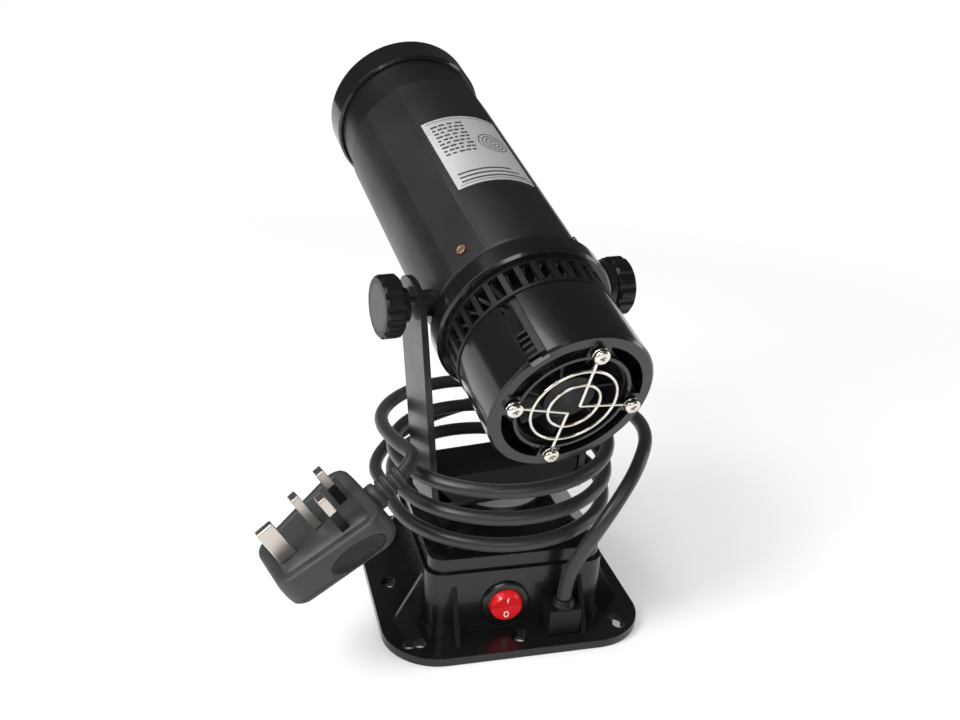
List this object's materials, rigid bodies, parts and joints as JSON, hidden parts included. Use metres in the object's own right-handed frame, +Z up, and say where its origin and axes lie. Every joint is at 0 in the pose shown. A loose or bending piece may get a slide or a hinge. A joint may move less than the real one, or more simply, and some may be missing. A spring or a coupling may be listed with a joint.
{
  "type": "logo projector",
  "caption": "Small LED logo projector: round barrel with vented rear and fan, turning focus collar, tilting in a yoke on a swivelling square base with switch, cord and plug.",
  "frame": {"origin": "centre of the base plate's underside, in the middle of its four edge holes", "axes": "+Z up, -Y out of the switch side, +X to the right seen from the switch side"},
  "size_m": [0.1877, 0.2445, 0.2474],
  "materials": {
    "bare_aluminium": "machined",
    "black_paint": "satin black on aluminium",
    "board_green": "solder mask",
    "brass": "bare brass",
    "capacitor_black": "sleeve",
    "cord_pvc": "soft satin PVC",
    "gloss_black_plastic": "glossy moulded ABS",
    "grey_plastic": "plain",
    "label_silver": "matt silver",
    "led_yellow": "phosphor",
    "lens_glass": "clear",
    "nickel_wire": "warm nickel plate",
    "plug_grey": "matt dark grey",
    "red_plastic": "glossy red",
    "satin_black_plastic": "satin moulded plastic",
    "transformer_yellow": "tape",
    "zinc_steel": "zinc plated"
  },
  "bodies": {
    "base": {"base_housing": "gloss_black_plastic", "base_cover": "gloss_black_plastic", "cover_screws": "zinc_steel", "base_lid": "gloss_black_plastic", "lid_screws": "zinc_steel", "friction_washer": "grey_plastic", "swivel_bolt": "zinc_steel", "swivel_nut": "zinc_steel", "driver_board": "board_green", "driver_transformer": "transformer_yellow", "driver_capacitors": "capacitor_black", "switch_body": "gloss_black_plastic", "switch_terminals": "brass", "cable_gland": "satin_black_plastic", "cord_rise": "cord_pvc", "cord_wraps": "cord_pvc", "cord_tail": "cord_pvc", "plug_strain_relief": "plug_grey", "plug_body": "plug_grey", "plug_cover": "plug_grey", "plug_screw": "zinc_steel", "plug_pins": "brass", "plug_pin_sleeves": "satin_black_plastic"},
    "yoke": {"yoke_bracket": "black_paint", "turret_block": "satin_black_plastic", "block_screws": "zinc_steel"},
    "head": {"barrel_body": "black_paint", "barrel_screws": "brass", "label_plate": "label_silver", "front_neck": "black_paint", "gobo_holder": "bare_aluminium", "gobo_disc": "lens_glass", "condenser_holder": "bare_aluminium", "condenser_lens": "lens_glass", "heatsink": "bare_aluminium", "led_plate": "bare_aluminium", "led_module": "led_yellow", "rear_ring": "black_paint", "vent_ribs": "black_paint", "rear_cup": "black_paint", "fan_frame": "satin_black_plastic", "fan_guard": "nickel_wire", "guard_screws": "nickel_wire"},
    "left_knob": {"knob_left": "satin_black_plastic", "knob_left_disc": "label_silver", "knob_left_stud": "zinc_steel"},
    "right_knob": {"knob_right": "satin_black_plastic", "knob_right_disc": "label_silver", "knob_right_stud": "zinc_steel"},
    "focus_collar": {"focus_ring": "black_paint"},
    "lens_slide": {"lens_cell": "bare_aluminium", "front_lens": "lens_glass", "lens_retainer": "black_paint", "focus_pin": "zinc_steel"},
    "fan": {"fan_rotor": "satin_black_plastic"},
    "rocker": {"switch_rocker": "red_plastic"}
  },
  "joints": [
    {"name": "yoke_swivel", "type": "hinge", "parent": "base", "child": "yoke", "pos_m": [0, 0, 0.0545], "axis": [0, 0, 1], "range_deg": [-60, 60]},
    {"name": "head_tilt", "type": "hinge", "parent": "yoke", "child": "head", "pos_m": [0, 0, 0.152], "axis": [0.9877, 0.1564, 0], "range_deg": [-31, 69]},
    {"name": "knob_left_turn", "type": "hinge", "parent": "yoke", "child": "left_knob", "pos_m": [0, 0, 0.152], "axis": [-0.9877, -0.1564, 0], "range_deg": [0, 360]},
    {"name": "knob_right_turn", "type": "hinge", "parent": "yoke", "child": "right_knob", "pos_m": [0, 0, 0.152], "axis": [0.9877, 0.1564, 0], "range_deg": [0, 360]},
    {"name": "focus_turn", "type": "hinge", "parent": "head", "child": "focus_collar", "pos_m": [0, 0, 0.152], "axis": [-0.146, 0.9221, 0.3584], "range_deg": [0, 90]},
    {"name": "focus_slide", "type": "slide", "parent": "head", "child": "lens_slide", "axis": [-0.146, 0.9221, 0.3584], "range_m": [0, 0.006]},
    {"name": "fan_spin", "type": "hinge", "parent": "head", "child": "fan", "pos_m": [0, 0, 0.152], "axis": [-0.146, 0.9221, 0.3584], "continuous": true},
    {"name": "switch_rock", "type": "hinge", "parent": "base", "child": "rocker", "pos_m": [-0.0054, -0.0425, 0.0164], "axis": [1, 0, 0], "range_deg": [-16, 0]}
  ],
  "couplings": [
    {"joint": "focus_slide", "follows": "focus_turn", "m_per_rad": 0.0038}
  ]
}
